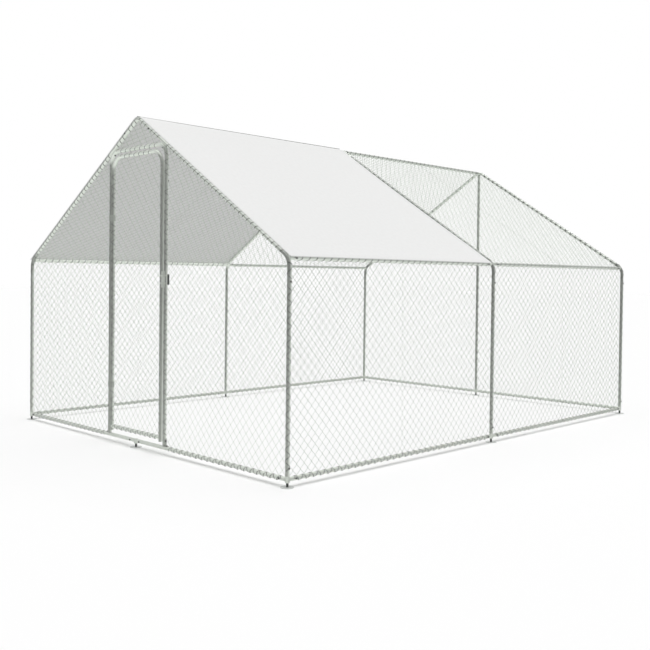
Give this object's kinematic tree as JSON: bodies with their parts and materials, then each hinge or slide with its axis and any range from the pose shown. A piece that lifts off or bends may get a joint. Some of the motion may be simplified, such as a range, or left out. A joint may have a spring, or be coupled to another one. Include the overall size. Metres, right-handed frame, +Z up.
{
  "type": "metal chicken coop",
  "caption": "Walk-in poultry run: a gabled galvanised tube frame with wire netting, a hinged tube-framed door with a sliding latch, and a cloth cover over the front half of the roof.",
  "frame": {"origin": "on the ground under the middle of the run", "axes": "+X to the right as seen from the front, +Y from the door gable to the rear gable, +Z up"},
  "size_m": [3.077, 3.9768, 2.201],
  "materials": {
    "galvanised_tube": "satin",
    "wire": "satin",
    "cover_cloth": "matte",
    "dark_screws": "satin",
    "dark_latch": "satin",
    "foot_steel": "satin"
  },
  "bodies": {
    "frame": {"door_header": "galvanised_tube", "front_centre_base_joint": "galvanised_tube", "front_gable_left_rail": "galvanised_tube", "front_gable_net": "wire", "front_gable_right_rail": "galvanised_tube", "front_left_base_joint": "galvanised_tube", "front_left_post": "galvanised_tube", "front_left_rafter": "galvanised_tube", "front_ridge_joint": "galvanised_tube", "front_ridge_tube": "galvanised_tube", "front_right_base_joint": "galvanised_tube", "front_right_post": "galvanised_tube", "front_right_rafter": "galvanised_tube", "ground_feet": "foot_steel", "jamb_brackets": "galvanised_tube", "joint_screws": "dark_screws", "latch_bracket": "galvanised_tube", "left_front_eave_rail": "galvanised_tube", "left_jamb": "galvanised_tube", "left_rear_eave_rail": "galvanised_tube", "left_roof_net": "wire", "left_wall_front_rail": "galvanised_tube", "left_wall_net": "wire", "left_wall_rear_rail": "galvanised_tube", "mid_left_base_joint": "galvanised_tube", "mid_left_post": "galvanised_tube", "mid_left_rafter": "galvanised_tube", "mid_ridge_joint": "galvanised_tube", "mid_right_base_joint": "galvanised_tube", "mid_right_post": "galvanised_tube", "mid_right_rafter": "galvanised_tube", "rear_centre_base_joint": "galvanised_tube", "rear_centre_post": "galvanised_tube", "rear_gable_left_rail": "galvanised_tube", "rear_gable_net": "wire", "rear_gable_right_rail": "galvanised_tube", "rear_left_base_joint": "galvanised_tube", "rear_left_post": "galvanised_tube", "rear_left_rafter": "galvanised_tube", "rear_ridge_joint": "galvanised_tube", "rear_ridge_tube": "galvanised_tube", "rear_right_base_joint": "galvanised_tube", "rear_right_post": "galvanised_tube", "rear_right_rafter": "galvanised_tube", "right_front_eave_rail": "galvanised_tube", "right_jamb": "galvanised_tube", "right_rear_eave_rail": "galvanised_tube", "right_roof_net": "wire", "right_wall_front_rail": "galvanised_tube", "right_wall_net": "wire", "right_wall_rear_rail": "galvanised_tube", "roof_cover": "cover_cloth"},
    "door": {"door_arch": "galvanised_tube", "door_bottom_rail": "galvanised_tube", "door_hinge_stile": "galvanised_tube", "door_latch_stile": "galvanised_tube", "door_net": "wire", "hinge_straps": "galvanised_tube"},
    "latch": {"latch_bolt": "dark_latch"}
  },
  "joints": [
    {"name": "door_hinge", "type": "hinge", "parent": "frame", "child": "door", "pos_m": [-0.33, -1.95, 1], "axis": [0, 0, -1], "range_deg": [0, 120]},
    {"name": "latch_slide", "type": "slide", "parent": "frame", "child": "latch", "axis": [-1, 0, 0], "range_m": [0, 0.038]}
  ]
}
